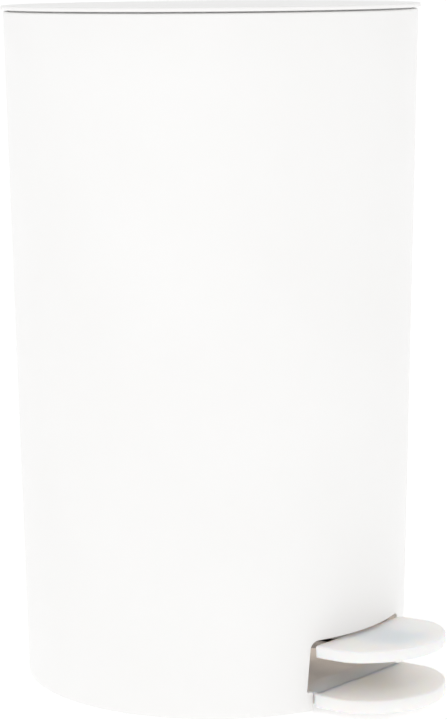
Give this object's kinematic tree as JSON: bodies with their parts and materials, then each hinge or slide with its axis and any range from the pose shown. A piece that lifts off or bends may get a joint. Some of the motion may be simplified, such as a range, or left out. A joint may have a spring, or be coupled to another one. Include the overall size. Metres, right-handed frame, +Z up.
{
  "type": "pedal trash can",
  "caption": "Round tapered pedal bin with a hinged lid raised by a tread, lever and lift rod, holding a removable inner bucket.",
  "frame": {"origin": "centre of the round standing edge, on the floor", "axes": "+Z up, -Y towards the front where the pedal is, +X to the side"},
  "size_m": [0.2024, 0.2432, 0.3297],
  "materials": {
    "white_plastic": "satin moulded plastic",
    "grey_plastic": "matte moulded plastic",
    "nylon": "natural moulded nylon",
    "zinc_plated_steel": "zinc plated, dull",
    "bright_steel": "bright drawn",
    "grey_rubber": "matte"
  },
  "bodies": {
    "housing": {"outer_shell": "white_plastic", "base_plate": "white_plastic", "base_screws": "bright_steel", "rubber_feet": "grey_rubber", "pedal_axle": "bright_steel", "axle_clips": "zinc_plated_steel", "rod_guides": "nylon", "hinge_pin": "bright_steel", "hinge_pin_caps": "white_plastic"},
    "lid": {"lid": "white_plastic", "lid_bracket": "zinc_plated_steel", "bracket_screws": "bright_steel", "bracket_pin": "bright_steel", "bracket_pin_clips": "zinc_plated_steel"},
    "pedal": {"pedal_tread": "white_plastic", "lever_arm": "zinc_plated_steel", "tread_rivets": "bright_steel", "lever_pin": "bright_steel", "lever_pin_clips": "zinc_plated_steel"},
    "rod": {"lift_rod": "zinc_plated_steel", "rod_head": "nylon", "rod_foot": "nylon"},
    "bucket": {"inner_bucket": "grey_plastic"},
    "handle": {"bucket_handle": "bright_steel", "handle_grip": "grey_plastic"}
  },
  "joints": [
    {"name": "lid_hinge", "type": "hinge", "parent": "housing", "child": "lid", "pos_m": [0, 0.106, 0.324], "axis": [-1, 0, 0], "range_deg": [0, 75]},
    {"name": "pedal_pivot", "type": "hinge", "parent": "housing", "child": "pedal", "pos_m": [0, -0.0325, 0.018], "axis": [1, 0, 0], "range_deg": [0, 10]},
    {"name": "rod_lift", "type": "slide", "parent": "housing", "child": "rod", "axis": [0, 0, 1], "range_m": [0, 0.021]},
    {"name": "bucket_lift", "type": "slide", "parent": "housing", "child": "bucket", "axis": [0, 0, 1], "range_m": [0, 0.002]},
    {"name": "handle_swing", "type": "hinge", "parent": "bucket", "child": "handle", "pos_m": [0, 0, 0.312], "axis": [-1, 0, 0], "range_deg": [0, 4]}
  ],
  "couplings": [
    {"joint": "pedal_pivot", "follows": "lid_hinge", "ratio": 0.13333},
    {"joint": "rod_lift", "follows": "lid_hinge", "m_per_rad": 0.015996}
  ]
}
